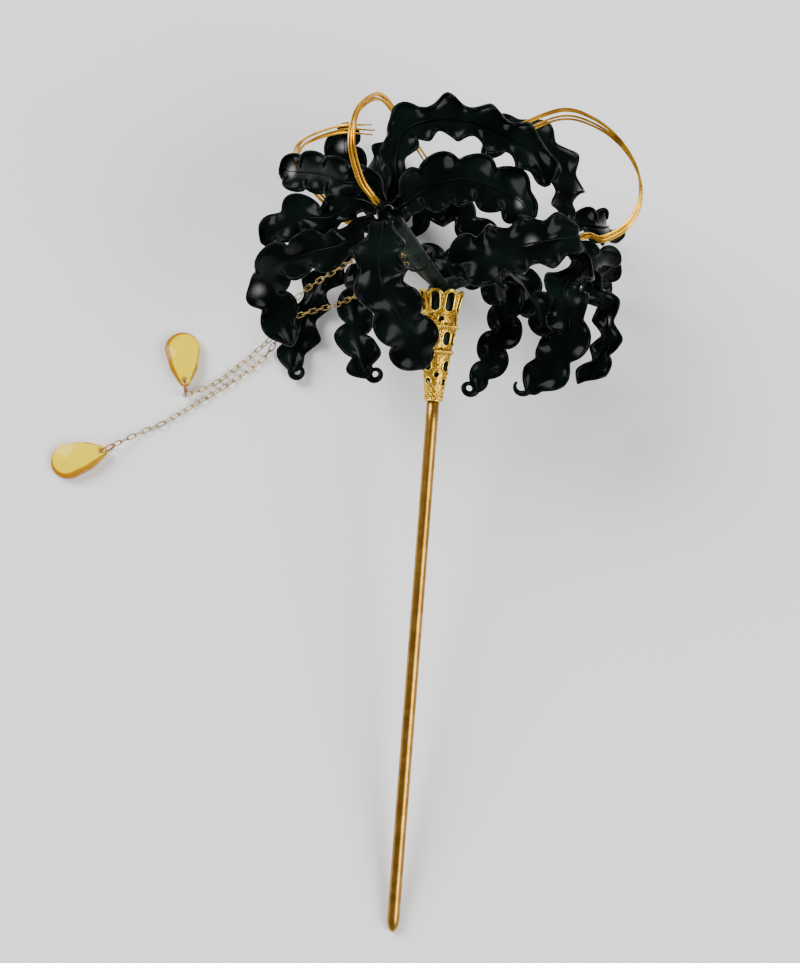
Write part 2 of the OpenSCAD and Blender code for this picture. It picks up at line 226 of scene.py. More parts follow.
def tube(bm: Mesh, points: Line, radius: Callable[[float], float],
         n: int = 8, closed: bool = False, first: Vector | None = None, mat: int = 0) -> None:
    """Round wire along some points, bent from a flat grid.

    Args:
        bm: mesh that gets the wire.
        points: its middle line.
        radius: gives the radius at a share of the length.
        n: sides of the wire.
        closed: whether the wire is a ring.
        first: side direction at the start.
        mat: material index of its faces.
    """
    line = list(points)
    count = len(line)
    if closed:
        ways = [(line[(i + 1) % count] - line[i - 1]).normalized() for i in range(count)]
        line.append(line[0])
        ways.append(ways[0])
    else:
        ways = tangents(line)
    if first is None:
        first = Vector((1, 0, 0)) if abs(ways[0].x) < 0.9 else Vector((0, 1, 0))
    sides = carried(ways, first)
    slip = 0.0
    if closed:
        slip = math.atan2(sides[-1].cross(sides[0]).dot(ways[0]), sides[-1].dot(sides[0]))
    last = len(line) - 1
    part = bmesh.new()
    bmesh.ops.create_grid(part, x_segments=n, y_segments=last, size=1.0)
    for v in part.verts:
        k = round((v.co.y + 1) / 2 * last)
        angle = math.pi * (v.co.x + 1) + slip * k / last
        out = math.cos(angle) * sides[k] + math.sin(angle) * ways[k].cross(sides[k])
        v.co = line[k] + radius(k / last) * out
    bmesh.ops.remove_doubles(part, verts=part.verts, dist=1e-5)
    if not closed:
        bmesh.ops.holes_fill(part, edges=[e for e in part.edges if e.is_boundary], sides=0)
    append(bm, part, mat)


def baked(name: str, bm: Mesh) -> bpy.types.Mesh:
    """Stores a mesh.

    Args:
        name: name of the data.
        bm: the mesh, which is used up.

    Returns:
        The data.
    """
    data = bpy.data.meshes.new(name)
    bm.to_mesh(data)
    bm.free()
    return data


def append(bm: Mesh, part: Mesh, mat: int = 0) -> None:
    """Moves a part into another mesh, smooth and with its faces outward.

    Args:
        bm: mesh that gets the part.
        part: the part, which is used up.
        mat: material index of its faces.
    """
    bmesh.ops.recalc_face_normals(part, faces=part.faces)
    for face in part.faces:
        face.material_index = mat
        face.smooth = True
    data = baked("part", part)
    bm.from_mesh(data)
    bpy.data.meshes.remove(data)


def add(name: str, data: bpy.types.ID) -> bpy.types.Object:
    """Puts an object into the scene.

    Args:
        name: its name.
        data: its mesh, light or camera.

    Returns:
        The object.
    """
    obj = bpy.data.objects.new(name, data)
    bpy.context.scene.collection.objects.link(obj)
    return obj


def lathe(bm: Mesh, profile: Rows, steps: int) -> None:
    """Turned shape round the z axis.

    Args:
        bm: mesh that gets the shape.
        profile: line of radius and height, from pole to pole or else closed.
        steps: number of steps round.
    """
    part = bmesh.new()
    verts = [part.verts.new((r, 0, z)) for r, z in profile]
    edges = [part.edges.new(pair) for pair in zip(verts, verts[1:])]
    if profile[0][0] > 0:
        edges.append(part.edges.new((verts[-1], verts[0])))
    bmesh.ops.spin(part, geom=verts + edges, axis=(0, 0, 1), cent=(0, 0, 0), angle=math.tau,
                   steps=steps, use_merge=True)
    bmesh.ops.remove_doubles(part, verts=part.verts, dist=1e-4)
    append(bm, part)


def piece(name: str, bm: Mesh, matrix: Matrix, finishes: Sequence[Material],
          node: str) -> None:
    """Makes the finished object that stands for a node.

    Args:
        name: plain name of the piece.
        bm: its mesh in millimetres, which is used up.
        matrix: where it goes, in metres.
        finishes: its materials.
        node: node that it stands for.
    """
    bmesh.ops.transform(bm, matrix=matrix, verts=bm.verts)
    mesh = baked(name, bm)
    for finish in finishes:
        mesh.materials.append(finish)
    obj = add(name, mesh)
    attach(obj, "root")
    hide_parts(node)
    LOG.info("%s: %d faces", name, len(mesh.polygons))


# Shaders


class Socket:
    """Value or colour of a shader, with the operators that are used on it."""

    def __init__(self, kit: "Kit", link: bpy.types.NodeSocket) -> None:
        self.kit = kit
        self.link = link

    def _math(self, operation: str, first: object, second: object) -> "Socket":
        """Adds a Math node on two values."""
        return self.kit.node("Math", {"operation": operation}, {0: first, 1: second})

    def __radd__(self, other: object) -> "Socket":
        """Sum with a number on the left."""
        return self._math("ADD", other, self)

    def __rsub__(self, other: object) -> "Socket":
        """Difference from a number on the left."""
        return self._math("SUBTRACT", other, self)

    def __mul__(self, other: object) -> "Socket":
        """Product."""
        return self._math("MULTIPLY", self, other)

    def __rmul__(self, other: object) -> "Socket":
        """Product with a number on the left."""
        return self._math("MULTIPLY", other, self)


class Kit:
    """Node tree of one material."""

    def __init__(self, name: str) -> None:
        """Makes a material with an empty tree.

        Args:
            name: name of the material.
        """
        self.material = bpy.data.materials.new(name)
        self.material.use_nodes = True
        self.tree = self.material.node_tree
        self.tree.nodes.clear()

    def node(self, kind: str, settings: dict | None = None, inputs: dict | None = None,
             output: int | str = 0) -> Socket | None:
        """Adds a node.

        Args:
            kind: its type, without the ShaderNode in front.
            settings: its own settings.
            inputs: numbers, colours or sockets, by name or index.
            output: the output that is wanted.

        Returns:
            That output, or None where the node has none.
        """
        made = self.tree.nodes.new(f"ShaderNode{kind}")
        for name, value in (settings or {}).items():
            setattr(made, name, value)
        for name, value in (inputs or {}).items():
            if isinstance(value, Socket):
                self.tree.links.new(value.link, made.inputs[name])
            else:
                made.inputs[name].default_value = value
        return Socket(self, made.outputs[output]) if made.outputs else None

    def local(self) -> Socket:
        """Object coordinates."""
        return self.node("TexCoord", output="Object")

    def attribute(self, name: str) -> Socket:
        """Number stored on the mesh."""
        return self.node("Attribute", {"attribute_name": name}, output="Fac")

    def noise(self, scale: float, detail: float = 3.0) -> Socket:
        """Soft noise from 0 to 1 on object coordinates."""
        inputs = {"Vector": self.local(), "Scale": scale, "Detail": detail}
        return self.node("TexNoise", None, inputs)

    def mix(self, share: Socket, a: Colour, b: Colour) -> Socket:
        """Colour between two colours.

        Args:
            share: share of the second colour.
            a: the first colour.
            b: the second colour.

        Returns:
            The mixed colour.
        """
        first_colour, second_colour, mixed_colour = 6, 7, 2
        inputs = {"Factor": share, first_colour: (*a, 1), second_colour: (*b, 1)}
        return self.node("Mix", {"data_type": "RGBA"}, inputs, mixed_colour)

    def ramp(self, value: Socket, low: float, high: float) -> Socket:
        """Eased step of a value from 0 at low to 1 at high."""
        inputs = {"Value": value, "From Min": low, "From Max": high}
        return self.node("MapRange", {"interpolation_type": "SMOOTHSTEP"}, inputs)

    def bump(self, height: Socket, depth: float, strength: float = 1.0,
             under: Socket | None = None) -> Socket:
        """Surface direction over a height.

        Args:
            height: the height, from 0 to 1.
            depth: what a height of 1 stands for, in metres.
            strength: how strong it is.
            under: direction of a bump below this one.

        Returns:
            The direction.
        """
        inputs = {"Height": height, "Distance": depth, "Strength": strength}
        if under is not None:
            inputs["Normal"] = under
        return self.node("Bump", None, inputs)

    def surface(self, inputs: dict) -> Material:
        """Ends the tree in a Principled shader.

        Args:
            inputs: numbers, colours or sockets of the shader, by name.

        Returns:
            The finished material.
        """
        shader = self.node("BsdfPrincipled", None, inputs)
        self.node("OutputMaterial", None, {"Surface": shader})
        return self.material


@dataclass(frozen=True)
class GoldFinish:
    """Gold-coloured metal with fine drawn or grainy wear."""

    name: str
    deep: Colour = (0.46, 0.17, 0.012)
    bright: Colour = (0.86, 0.43, 0.045)
    roughness: float = 0.24
    grain: float = 0.0

    def material(self) -> Material:
        """Builds the finish.

        Returns:
            The material.
        """
        kit = Kit(self.name)
        patches = kit.ramp(kit.noise(260.0), 0.3, 0.7)
        fine = kit.noise(2600.0, 2.0)
        relief = kit.bump(fine, 0.00002)
        if self.grain:
            cells = kit.node("TexVoronoi", None, {"Vector": kit.local(), "Scale": 1500.0})
            relief = kit.bump(1.0 - cells, self.grain, 1.0, relief)
        return kit.surface({"Base Color": kit.mix(patches, self.deep, self.bright), "Metallic": 1.0,
                            "Roughness": self.roughness + 0.12 * fine, "Normal": relief})


@dataclass(frozen=True)
class ResinFinish:
    """Nearly black green resin film, smoky and see-through where it is thin."""

    name: str
    dark: Colour = (0.0008, 0.0018, 0.0016)
    tint: Colour = (0.0022, 0.0060, 0.0048)
    film: bool = True

    def material(self) -> Material:
        """Builds the finish.

        Returns:
            The material.
        """
        kit = Kit(self.name)
        cloud = kit.ramp(kit.noise(90.0, 4.0), 0.35, 0.7)
        swell = kit.noise(110.0, 1.0)
        inputs = {"Base Color": kit.mix(cloud, self.dark, self.tint), "Roughness": 0.14 + 0.12 * cloud,
                  "IOR": 1.5, "Specular IOR Level": 0.065, "Normal": kit.bump(swell, 0.0004, 0.25)}
        if self.film:
            inputs["Alpha"] = 1.0 - kit.attribute("clear")
        return kit.surface(inputs)


@dataclass(frozen=True)
class TapeFinish:
    """Waxy dark green stem tape."""

    name: str
    dark: Colour = (0.0015, 0.005, 0.003)
    light: Colour = (0.005, 0.016, 0.009)

    def material(self) -> Material:
        """Builds the finish.

        Returns:
            The material.
        """
        kit = Kit(self.name)
        crepe = kit.noise(1400.0, 5.0)
        patches = kit.ramp(kit.noise(300.0), 0.35, 0.7)
        return kit.surface({"Base Color": kit.mix(patches, self.dark, self.light),
                            "Roughness": 0.42 + 0.2 * crepe, "Specular IOR Level": 0.15,
                            "Normal": kit.bump(crepe, 0.00012, 0.7)})


@dataclass(frozen=True)
class AmberFinish:
    """Clear amber yellow glass or resin, deeper in colour toward its outline as painted shade, with a
    faint painted glow for light passed through it.
    """

    name: str
    pale: Colour = (0.98, 0.75, 0.0)
    deep: Colour = (0.34, 0.10, 0.0)

    def material(self) -> Material:
        """Builds the finish.

        Returns:
            The material.
        """
        kit = Kit(self.name)
        # Painted shade: the stored edge mark turns the amber deeper toward the drop's outline.
        edge = kit.attribute("edge") * (0.8 + 0.2 * kit.noise(160.0, 2.0))
        amber = kit.mix(edge, self.pale, self.deep)
        return kit.surface({"Base Color": amber, "Roughness": 0.08, "IOR": 1.52,
                            "Specular IOR Level": 0.12, "Transmission Weight": 0.15,
                            # Painted glow: a faint emission in the amber colour stands in for light
                            # passed through the drop.
                            "Emission Color": amber, "Emission Strength": 0.08,
                            "Alpha": 0.92 + 0.08 * edge,
                            "Normal": kit.bump(kit.noise(420.0, 1.0), 0.0001, 0.5)})


@dataclass(frozen=True)
class FloorFinish:
    """Plain pale table top."""

    name: str
    colour: Colour = (0.92, 0.92, 0.92)

    def material(self) -> Material:
        """Builds the finish.

        Returns:
            The material.
        """
        kit = Kit(self.name)
        speck = kit.noise(40.0)
        return kit.surface({"Base Color": (*self.colour, 1), "Roughness": 0.85 + 0.1 * speck})


# Stick and cap


@dataclass
class Stick:
    """Round shaft with a rounded nose and a thinner tang in the cap."""

    shank_end: float = CAP_L + GAP
    tang_end: float = 2.0
    bevel: float = 0.12
    finish: GoldFinish = GoldFinish("drawn_gold", deep=(0.27, 0.13, 0.018),
                                    bright=(0.42, 0.225, 0.04), roughness=0.24)

    def build(self) -> None:
        """Turns the shaft."""
        r = STICK_D / 2
        tang_r = TANG_D / 2
        low = NOSE_L - STICK_L
        end = -self.shank_end
        profile = [(0.0, low - NOSE_L)]
        for w in range(85, 0, -5):
            across, down = polar(1, w)
            profile.append((r * across, low - NOSE_L * down))
        profile += [(r, low + (end - low) * k / 24) for k in range(24)]
        profile += [(r, end - self.bevel), (r - self.bevel, end), (tang_r, end),
                    (tang_r, -self.tang_end - self.bevel), (tang_r - self.bevel, -self.tang_end),
                    (0.0, -self.tang_end)]
        bm = bmesh.new()
        lathe(bm, profile, 64)
        piece("gold_stick", bm, PIN, [self.finish.material()], "stick")


CAP = ((0.8, 5.5), (1.8, 5.0), (3.6, 4.45), (6.4, 4.15), (8.6, 4.05), (9.2, 4.35), (9.8, 4.35),
       (10.4, 3.95), (14.6, 3.4), (15.2, 3.65), (15.8, 3.65), (16.4, 3.25), (20.0, 2.85), (24.0, 2.35),
       (CAP_L, 2.1))


def cap_r(h: float) -> float:
    """Outer radius of the cap at a height under its mouth."""
    return between(CAP, h)


def on_cap(angle: float, h: float, proud: float, across: float = 0.0) -> Vector:
    """Place on the cap's outside.

    Args:
        angle: round the cap, in degrees.
        h: height under the mouth.
        proud: distance out of the surface.
        across: distance beside the angle.

    Returns:
        The place.
    """
    r = cap_r(h)
    return Vector((*polar(r + proud, angle + math.degrees(across / r)), -h))


@dataclass
class Cap:
    """Pierced cone of gold filigree with a scalloped crown.

    The crown's slots, the windows, the columns of balls and the bands of scrolls are short tables.
    A slot or window is its angle in a repeat, width, upper and lower end. A column is its repeats,
    angle, top, step, number of balls, how proud they are and their radius. A band is its height,
    number of scrolls and their radius.
    """

    scallops: int = 8
    repeats: int = 4
    turn: float = 5.0
    notch: float = 1.5
    crown_top: float = 0.95
    slot: tuple = (22.5, 2.1, 1.4, 6.0)
    windows: tuple = ((0, 1.4, 7.2, 8.6), (-27, 1.9, 10.7, 13.9), (27, 1.9, 10.7, 13.9),
                      (45, 1.8, 17.5, 20.1), (0, 1.3, 20.35, 21.65), (45, 1.4, 21.8, 23.4))
    columns: tuple = ((8, -3, 2.8, 0.45, 8, 0.04, 0.2), (8, 3, 2.8, 0.45, 8, 0.04, 0.2),
                      (8, 22.5, 6.9, 0, 1, 0.06, 0.3), (8, 0, 7, 0, 1, 0.06, 0.26),
                      (4, 45, 10.9, 0.5, 7, 0.03, 0.2), (4, -12, 10.9, 0.5, 7, 0.03, 0.17),
                      (4, 12, 10.9, 0.5, 7, 0.03, 0.17), (4, -9, 17.2, 0.45, 7, 0.03, 0.2),
                      (4, 9, 17.2, 0.45, 7, 0.03, 0.2), (4, -18, 17.2, 0.45, 7, 0.03, 0.17),
                      (4, 18, 17.2, 0.45, 7, 0.03, 0.17))
    bands: tuple = ((8.6, 16, 0.34), (10.1, 14, 0.3), (14.45, 14, 0.3), (16.5, 12, 0.32),
                    (23.6, 12, 0.26))
    ground: GoldFinish = GoldFinish("filigree_ground", deep=(0.22, 0.10, 0.007),
                                    bright=(0.66, 0.38, 0.04), grain=0.00014)
    raised: GoldFinish = GoldFinish("filigree_gold", deep=(0.62, 0.37, 0.03),
                                    bright=(1.0, 0.74, 0.11), roughness=0.2)

    def wire(self, bm: Mesh, line: Line, r: float, n: int = 6) -> None:
        """Closed wire of the raised finish."""
        tube(bm, line, lambda s: r, n, closed=True, mat=1)

    def ball(self, bm: Mesh, angle: float, h: float, proud: float, r: float) -> None:
        """Ball of the raised finish on the cap's outside.

        Args:
            bm: mesh that gets the ball.
            angle: where it faces.
            h: height under the mouth.
            proud: distance of its middle out of the surface.
            r: its radius.
        """
        part = bmesh.new()
        place = Matrix.Translation(on_cap(angle, h, proud))
        bmesh.ops.create_icosphere(part, subdivisions=1, radius=r, matrix=place)
        append(bm, part, 1)

    def rim(self, bm: Mesh, angle: float, w: float, a: float, b: float) -> None:
        """Wire round a window.

        Args:
            bm: mesh that gets the wire.
            angle: where the window faces.
            w: its width.
            a: its upper end under the mouth.
            b: its lower end.
        """
        edge = 0.12
        places = oblong(w / 2 + edge, (b - a - w) / 2)
        self.wire(bm, [on_cap(angle, (a + b) / 2 - y, 0.1, x) for x, y in places], 0.2)

    def ring(self, bm: Mesh, h: float, r: float) -> None:
        """Plain wire round the cap at a height."""
        self.wire(bm, [on_cap(7.5 * k, h, 0.06) for k in range(48)], r)

    def rope(self, bm: Mesh, h: float, r: float, turns: int) -> None:
        """Two wires twisted round each other, round the cap.

        Args:
            bm: mesh that gets the wires.
            h: height under the mouth.
            r: radius of the rope.
            turns: how often they twist.
        """
        steps = 8 * turns
        for start in (0, 180):
            line = []
            for k in range(steps):
                out, down = polar(0.55 * r, 45 * k + start)
                line.append(on_cap(360 * k / steps, h + down, out + 0.05))
            self.wire(bm, line, 0.6 * r, 5)

    def crown_h(self, angle: float) -> float:
        """Height under the mouth of the crown's edge at an angle in degrees."""
        arch = abs(math.cos(math.radians((angle - self.turn) * self.scallops / 2 - 90)))
        return self.crown_top + self.notch * (1 - arch**0.6)

    def crown(self, bm: Mesh) -> None:
        """Wire along the arches of the crown."""
        self.wire(bm, [on_cap(3.75 * k, self.crown_h(3.75 * k), -0.16) for k in range(96)], 0.28)

    def granules(self, bm: Mesh) -> None:
        """Columns, circles and a collar of small balls.

        Args:
            bm: mesh that gets the balls.
        """
        for repeats, angle, top, step, count, proud, r in self.columns:
            for i in range(repeats):
                for k in range(count):
                    self.ball(bm, self.turn + 360 * i / repeats + angle, top + step * k, proud, r)
        hole_h = 7.9
        circle_r = 1.02
        for i in range(self.repeats):
            for w in range(0, 360, 30):
                x, y = polar(circle_r, w)
                angle = self.turn + 360 * i / self.repeats + math.degrees(x / cap_r(hole_h))
                self.ball(bm, angle, hole_h + y, 0.03, 0.17)
        count = 14
        for h in (24.1, 25.1, 26.1):
            for k in range(count):
                self.ball(bm, 100 * h + 360 * (k + 0.5) / count, h, 0.08, 0.22)

    def scrolls(self, bm: Mesh) -> None:
        """Little rings of wire in the plain bands.

        Args:
            bm: mesh that gets the rings.
        """
        for h, count, r in self.bands:
            circle = [polar(r, 36 * k) for k in range(10)]
            for i in range(count):
                middle = 360 * (i + 0.5) / count
                self.wire(bm, [on_cap(middle, h + y, 0.06, x) for x, y in circle], 0.11, 5)

    def solid(self) -> Mesh:
        """Copies the solid and cuts its crown to the arches.

        Returns:
            The mesh, with the faces that stand proud in the raised finish.
        """
        bm = bmesh.new()
        bm.from_mesh(bpy.data.objects["cap"].data)
        bmesh.ops.remove_doubles(bm, verts=bm.verts, dist=1e-6)
        bmesh.ops.transform(bm, matrix=PIN.inverted(), verts=bm.verts)
        for face in bm.faces:
            middle = face.calc_center_median()
            face.material_index = int(middle.xy.length > cap_r(-middle.z) + 0.03)
            face.smooth = False
        for v in bm.verts:
            edge = self.crown_h(math.degrees(math.atan2(v.co.y, v.co.x)))
            if -v.co.z < edge:
                narrow = cap_r(edge) / cap_r(-v.co.z)
                v.co = Vector((v.co.x * narrow, v.co.y * narrow, -edge))
        return bm

    def build(self) -> None:
        """Takes the pierced cone and lays the wires and balls on it."""
        bm = self.solid()
        for rows, repeats in (((self.slot,), self.scallops), (self.windows, self.repeats)):
            for angle, w, a, b in rows:
                for i in range(repeats):
                    self.rim(bm, self.turn + 360 * i / repeats + angle, w, a, b)
        self.crown(bm)
        self.ring(bm, 6.4, 0.18)
        self.ring(bm, CAP_L - 0.25, 0.22)
        self.rope(bm, 9.5, 0.34, 24)
        self.rope(bm, 15.5, 0.3, 20)
        self.granules(bm)
        self.scrolls(bm)
        piece("gold_cap", bm, PIN, [self.ground.material(), self.raised.material()], "cap")


# Flower


class Floret(Enum):
    """Florets, named as seen from above the piece where it lies."""

    FRONT = "front"
    RIGHT = "right"
    BACK = "back"


THROATS = {Floret.FRONT: Vector((-14, -22, 13)), Floret.RIGHT: Vector((27, 0, 12)),
           Floret.BACK: Vector((-13, 23, 14))}
THROAT_R = 2.4
PETAL_T = 0.9
STEM_R = 2.6
CALYX_L = 3.2


@dataclass(frozen=True)
class Axes:
    """Place and directions of a floret."""

    throat: Vector
    axis: Vector
    up: Vector
    side: Vector

    @classmethod
    def of(cls, floret: Floret) -> "Axes":
        """Works out a floret's directions from its throat.

        Args:
            floret: the floret.

        Returns:
            Its place and directions.
        """
        throat = THROATS[floret]
        axis = throat.normalized()
        up = (Vector((0, 0, 1)) - axis.z * axis).normalized()
        return cls(throat, axis, up, up.cross(axis))

    def outward(self, angle: float) -> Vector:
        """Direction square to the axis at an angle in degrees."""
        return turned(angle, self.side, self.up)

    def matrix(self) -> Matrix:
        """Placing matrix with z along the axis, from the middle of the cap's mouth."""
        return Matrix((self.up, -self.side, self.axis)).transposed().to_4x4()


@dataclass
class Stems:
    """Taped bundle in the cap and its three branches."""

    wrap: float = 1.7
    ridge: float = 0.16
    root_r: float = 1.6
    core: tuple = ((1.45, 22.4), (2.0, 22.4), (2.75, 14.6), (3.68, 4.0), (3.2, 0.0), (1.5, -2.0),
                   (0.0, -2.0), (0.0, 1.6), (1.45, 1.6))
    finish: TapeFinish = TapeFinish("green_tape")

    def branch(self, bm: Mesh, floret: Floret) -> None:
        """Tapered stem wound with tape.

        Args:
            bm: mesh that gets the stem.
            floret: floret that it carries.
        """
        axes = Axes.of(floret)
        length = axes.throat.length - CALYX_L - GAP
        steps = 96
        line = [axes.axis * (length * k / steps) for k in range(steps + 1)]
        part = bmesh.new()
        tube(part, line, lambda s: self.root_r + (STEM_R - self.root_r) * s, 28, first=axes.up)
        for v in part.verts:
            high = v.co.dot(axes.axis)
            out = v.co - high * axes.axis
            if out.length < 0.1:
                continue
            angle = math.atan2(out.dot(axes.side), out.dot(axes.up)) / math.tau
            turn = (high / self.wrap + angle) % 1.0
            edge = smooth(turn / 0.15) * (1 - 0.8 * turn)
            v.co -= out.normalized() * self.ridge * (1 - edge)
        append(bm, part)

    def build(self) -> None:
        """Makes the core and the branches."""
        bm = bmesh.new()
        lathe(bm, [(r, -h) for r, h in self.core], 48)
        for floret in Floret:
            self.branch(bm, floret)
        piece("green_stems", bm, PIN, [self.finish.material()], "stems")


@dataclass
class Calyx:
    """Resin knot that gathers the petals of a floret."""

    floret: Floret
    resin: Material
    cone_l: float = 2.4
    lumps: int = 6
    lump: float = 0.08

    def build(self) -> None:
        """Makes a cone and a ball, run together and lumpy like poured resin."""
        axes = Axes.of(self.floret)
        high = axes.throat.length
        profile = [(0.0, high - CALYX_L)]
        for k in range(7):
            profile.append((STEM_R + (THROAT_R - STEM_R) * k / 6, high - CALYX_L + self.cone_l * k / 6))
        for w in range(-15, 90, 8):
            r, rise = polar(THROAT_R, w)
            profile.append((r, high + rise))
        profile.append((0.0, high + THROAT_R))
        bm = bmesh.new()
        lathe(bm, profile, 36)
        for v in bm.verts:
            angle = math.atan2(v.co.y, v.co.x)
            share = smooth((v.co.z - high + CALYX_L) / CALYX_L)
            wave = math.cos(self.lumps * angle + 0.6 * v.co.z)
            grow = 1 - self.lump * share * (0.5 + 0.5 * wave)
            v.co.x *= grow
            v.co.y *= grow
        bmesh.ops.transform(bm, matrix=axes.matrix(), verts=bm.verts)
        name = self.floret.value
        piece(f"{name}_knot", bm, PIN, [self.resin], f"{name}_calyx")


class Tip(Enum):
    """Ways a petal ends."""

    ROUND = 0
    CURL = 1
    HOOK = 2


class Edge(Enum):
    """Ways a petal's edge runs."""

    LOBED = 1
    SPIKED = -1


@dataclass
class Petal:
    """Ruffled strap of resin film in a dark wire rim.

    It leaves the throat at its angle and splay and follows its route, and its face turns about its
    own line from base_turn to tip_turn. Its edges wave once in each pitch, from the phase on, as
    strongly as ruffle says. A clear spot is its share of the length, side, radius and how
    see-through it is. A corner is its share of the length, side, height and breadth.
    """

    floret: Floret
    number: int
    angle: float
    width: float
    base_turn: float
    tip_turn: float
    phase: float
    ruffle: float
    route: Rows
    tip: Tip = Tip.ROUND
    tip_way: float = 0.0
    edge: Edge = Edge.LOBED
    clear: Sequence[tuple[float, float, float, float]] = ()
    corners: Sequence[tuple[float, float, float, float]] = ()
    splay: float = 60.0
    neck: float = 0.3
    neck_at: float = 0.32
    tip_at: float = 0.82
    pitch: float = 9.0
    stagger: float = 150.0
    rise: float = 0.42
    soft: float = 0.05
    cup: float = 0.1
    crease: float = 0.09
    scallop: float = 0.42
    lobe_mid: float = 1.4
    spike_mid: float = 0.95
    stations: int = 110
    strips: int = 16
    film_t: float = 0.42
    rim_r: float = 0.43
    rib_r: float = 0.27

    def __post_init__(self) -> None:
        """Lays the middle line and the directions along it."""
        axes = Axes.of(self.floret)
        out = axes.outward(self.angle)
        leave = turned(self.splay, axes.axis, out)
        start = axes.throat + (THROAT_R + GAP + PETAL_T / 2) * leave
        self.line = even([start, start + 5 * leave] + vectors(self.route), self.stations)
        self.ways = tangents(self.line)
        self.sides = carried(self.ways, axes.axis.cross(out))
        self.length = length_of(self.line)

    def half(self, s: float) -> float:
        """Half width, with the narrow neck and the round tip.

        Args:
            s: share of the length.

        Returns:
            The half width there.
        """
        if s > self.tip_at:
            u = (s - self.tip_at) / (1 - self.tip_at)
            return self.width / 2 * math.sqrt(max(0.04, 1 - u * u))
        return self.width / 2 * (self.neck + (1 - self.neck) * smooth(s / self.neck_at))

    def frame(self, k: int) -> tuple[Vector, Vector]:
        """Directions at a station.

        Args:
            k: station along the petal.

        Returns:
            The directions over the petal and out of its face.
        """
        turn = self.base_turn + (self.tip_turn - self.base_turn) * k / self.stations
        n = self.ways[k].cross(self.sides[k])
        return turned(turn, self.sides[k], n), turned(turn, n, -self.sides[k])

    def spot(self, k: int, x: float, lift: float = 0.0, inset: float = 0.0) -> Vector:
        """Place on the petal.

        Args:
            k: station along the petal.
            x: place over its width, from -1 to 1.
            lift: distance out of the face.
            inset: how far an edge is drawn in.

        Returns:
            The place.
        """
        s = k / self.stations
        over, face = self.frame(k)
        half = self.half(s)
        start = self.phase + (self.stagger if x > 0 else 0)
        wave = math.radians(360 * self.length / self.pitch * s + start)
        if self.edge is Edge.LOBED:
            scallop = 2 * math.sqrt(math.cos(wave / 2) ** 2 + self.soft) - self.lobe_mid
        else:
            scallop = self.spike_mid - 2 * math.sqrt(math.sin(wave / 2) ** 2 + self.soft / 4)
        reach = half * (1 + self.scallop * self.ruffle * scallop)
        for at, side, high, broad in self.corners:
            if side * x > 0:
                reach += high * smooth(1 - abs(s - at) * self.length / broad)
        reach = max(reach - inset, 0.05)
        rise = half * self.rise * self.ruffle * x * x * math.sin(wave) * smooth(s / 0.3)
        cup = self.cup * half * (abs(x) ** 1.5 - 0.3)
        crease = self.crease * math.sin(7.5 * x + 5 * s + self.phase) * smooth(s / 0.1) * (1 - x * x)
        return self.line[k] + reach * x * over + (rise + cup + crease + lift) * face

    def film(self, bm: Mesh) -> None:
        """Adds the film, with how see-through it is.

        Args:
            bm: mesh that gets the film.
        """
        thin = bm.verts.layers.float.new("clear")
        grid = bmesh.ops.create_grid(bm, x_segments=self.strips, y_segments=self.stations, size=1.0)
        for v in grid["verts"]:
            k = round((v.co.y + 1) / 2 * self.stations)
            x = v.co.x
            s = k / self.stations
            amount = 0.0
            for at, side, r, most in self.clear:
                gap = math.hypot((s - at) * self.length, (x - side * 0.55) * self.half(s))
                amount = max(amount, most * smooth(1 - gap / r))
            v[thin] = amount
            v.co = self.spot(k, x, -self.film_t / 2, self.rim_r)
        bmesh.ops.recalc_face_normals(bm, faces=bm.faces)
        bmesh.ops.solidify(bm, geom=bm.faces[:], thickness=self.film_t)
        bmesh.ops.recalc_face_normals(bm, faces=bm.faces)
        for face in bm.faces:
            face.smooth = True

    def rim(self, bm: Mesh) -> None:
        """Adds the wire along both edges and round the tip.

        Args:
            bm: mesh that gets the wire.
        """
        left = [(k, -1.0) for k in range(self.stations + 1)]
        end = [(self.stations, x / 3) for x in (-2, -1, 0, 1, 2)]
        right = [(k, 1.0) for k in range(self.stations, -1, -1)]
        edge = [self.spot(k, x, 0.0, self.rim_r) for k, x in left + end + right]
        line = even(edge, 2 * self.stations)
        tube(bm, line, lambda s: self.rim_r * (0.7 + 0.3 * smooth(min(s, 1 - s) * 8)), 8, mat=1)

    def rib(self, bm: Mesh) -> None:
        """Adds the wire along the middle."""
        line = [self.spot(k, 0.0, 0.1) for k in range(round(0.93 * self.stations))]
        tube(bm, line, lambda s: self.rib_r * (1.2 - 0.8 * s), 8, mat=1)

    def end(self, bm: Mesh) -> None:
        """Adds a curl or a hook at the tip.

        Args:
            bm: mesh that gets it.
        """
        if self.tip is Tip.ROUND:
            return
        over, face = self.frame(self.stations)
        bend = turned(self.tip_way, over, face)
        way = self.ways[-1]
        turns, r = (400, 1.7) if self.tip is Tip.CURL else (190, 2.2)
        middle = self.line[-1] + r * bend
        line = []
        for w in range(0, turns + 1, 16):
            radius = r * (1 - 0.45 * w / turns)
            shift = 0.5 * w / turns * way.cross(bend)
            line.append(middle - radius * turned(w, bend, -way) + shift)
        tube(bm, line, lambda s: 0.6 * (1 - s) + 0.3, 8, mat=1)

    def build(self, film: Material, rim: Material) -> None:
        """Makes the petal of its two finishes.

        Args:
            film: material of the film.
            rim: material of its wires.
        """
        bm = bmesh.new()
        self.film(bm)
        self.rim(bm)
        self.rib(bm)
        self.end(bm)
        name = f"{self.floret.value}_petal_{self.number}"
        piece(f"resin_{name}", bm, PIN, [film, rim], name)


